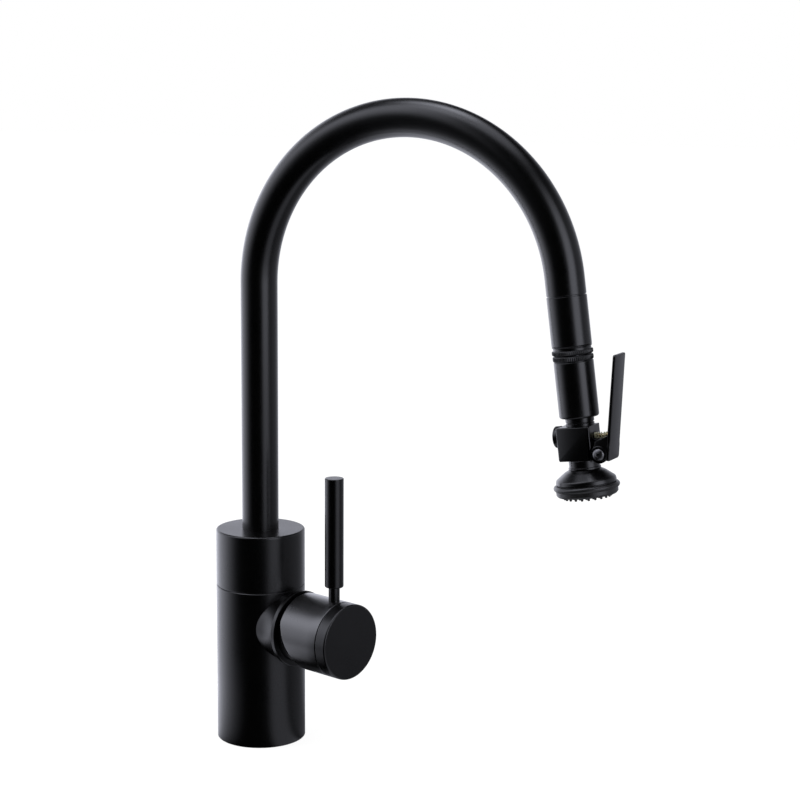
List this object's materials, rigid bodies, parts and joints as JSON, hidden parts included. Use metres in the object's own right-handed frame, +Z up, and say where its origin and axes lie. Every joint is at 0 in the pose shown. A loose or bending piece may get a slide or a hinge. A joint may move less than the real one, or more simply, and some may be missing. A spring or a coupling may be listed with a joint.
{
  "type": "pull-down kitchen faucet",
  "caption": "Single-hole kitchen faucet with a swivelling high-arc spout, a side mixer handle and a pull-down wand with a squeeze-lever rinse head.",
  "frame": {"origin": "centre of the base's underside, on the deck and on the axis of the shank thread", "axes": "+Z up, +X along the spout's reach at rest, -Y to the side that the mixer handle leans to"},
  "size_m": [0.297, 0.0772, 0.4493],
  "materials": {
    "black_body": "matte black powder coat",
    "brass": "bright machined",
    "steel": "bright stainless",
    "rubber": "matte moulded rubber",
    "ceramic": "lapped ceramic",
    "plastic": "moulded acetal",
    "nylon": "braided nylon and black acetal"
  },
  "bodies": {
    "base": {"base_shell": "black_body", "base_gasket": "rubber", "waterway_core": "brass", "swivel_spigot": "brass", "thrust_washer": "nylon", "cartridge_housing": "plastic", "cartridge_base": "plastic", "cartridge_seals": "rubber", "fixed_disc": "ceramic", "bonnet_nut": "black_body"},
    "mixer_turntable": {"cartridge_rotor": "plastic", "rotor_o_ring": "rubber", "stem_pin": "steel"},
    "mixer_disc": {"moving_disc": "ceramic", "disc_carrier": "plastic"},
    "handle": {"cartridge_stem": "steel", "handle_drum": "black_body", "handle_cap": "black_body", "handle_set_screw": "steel", "lever_stem": "black_body", "lever_rod": "black_body"},
    "spout": {"hub_collar": "black_body", "swivel_bushes": "nylon", "hub_set_screw": "steel", "spout_tube": "black_body", "ferrule": "black_body", "dock_liner": "plastic", "lock_clip": "steel", "hose_guide": "plastic", "spray_hose": "nylon", "hose_coupling": "brass"},
    "twist_lock": {"lock_ring": "black_body"},
    "hose_end": {"docking_sleeve": "steel", "hose_tail": "nylon", "hose_crimp": "steel", "swivel_o_rings": "rubber"},
    "wand": {"grip_ring": "black_body", "grip_sleeve": "black_body", "wand_waterway": "plastic", "check_valve": "plastic", "wand_neck": "black_body", "valve_block": "black_body", "bore_plug": "black_body", "plug_o_ring": "rubber", "valve_seat": "brass", "gland_bush": "brass", "pivot_pin": "black_body", "pivot_clip": "steel", "bell_nut": "black_body", "spray_bell": "black_body", "distributor_plate": "steel", "face_gasket": "rubber", "spray_face": "rubber", "face_screw": "steel", "return_spring": "brass"},
    "lever": {"squeeze_lever": "black_body"},
    "valve_stem": {"plunger": "brass", "poppet_seal": "rubber"}
  },
  "joints": [
    {"name": "spout_swivel", "type": "hinge", "parent": "base", "child": "spout", "pos_m": [0, 0, 0.12], "axis": [0, 0, 1], "range_deg": [-180, 180]},
    {"name": "mixer_turn", "type": "hinge", "parent": "base", "child": "mixer_turntable", "pos_m": [0.03298, -0.00828, 0.0854], "axis": [0.9699, -0.2436, 0], "range_deg": [-45, 45]},
    {"name": "mixer_tilt", "type": "hinge", "parent": "mixer_turntable", "child": "handle", "pos_m": [0.03298, -0.00828, 0.0854], "axis": [0.2436, 0.9699, 0], "range_deg": [0, 20]},
    {"name": "mixer_disc_slide", "type": "slide", "parent": "mixer_turntable", "child": "mixer_disc", "axis": [0, 0, 1], "range_m": [0, 0.0024]},
    {"name": "wand_pull", "type": "slide", "parent": "spout", "child": "hose_end", "axis": [0.1374, 0, -0.9905], "range_m": [0, 0.15], "stiffness_N_per_m": 15, "springref_m": -0.6},
    {"name": "wand_turn", "type": "hinge", "parent": "hose_end", "child": "wand", "pos_m": [0.23497, 0, 0.27892], "axis": [0.1374, 0, -0.9905], "continuous": true},
    {"name": "lock_turn", "type": "hinge", "parent": "spout", "child": "twist_lock", "pos_m": [0.23304, 0, 0.29279], "axis": [0.1374, 0, -0.9905], "range_deg": [0, 60]},
    {"name": "lever_squeeze", "type": "hinge", "parent": "wand", "child": "lever", "pos_m": [0.25618, 0, 0.22937], "axis": [0, -1, 0], "range_deg": [0, 10], "stiffness_Nm_per_rad": 0.6, "springref_deg": -11.46},
    {"name": "plunger_travel", "type": "slide", "parent": "wand", "child": "valve_stem", "axis": [-0.9905, 0, -0.1374], "range_m": [0, 0.0022], "stiffness_N_per_m": 20, "springref_m": -0.002, "deforming": ["return_spring"]}
  ],
  "couplings": [
    {"joint": "mixer_disc_slide", "follows": "mixer_tilt", "m_per_rad": 0.0064},
    {"joint": "plunger_travel", "follows": "lever_squeeze", "m_per_rad": 0.0117}
  ]
}
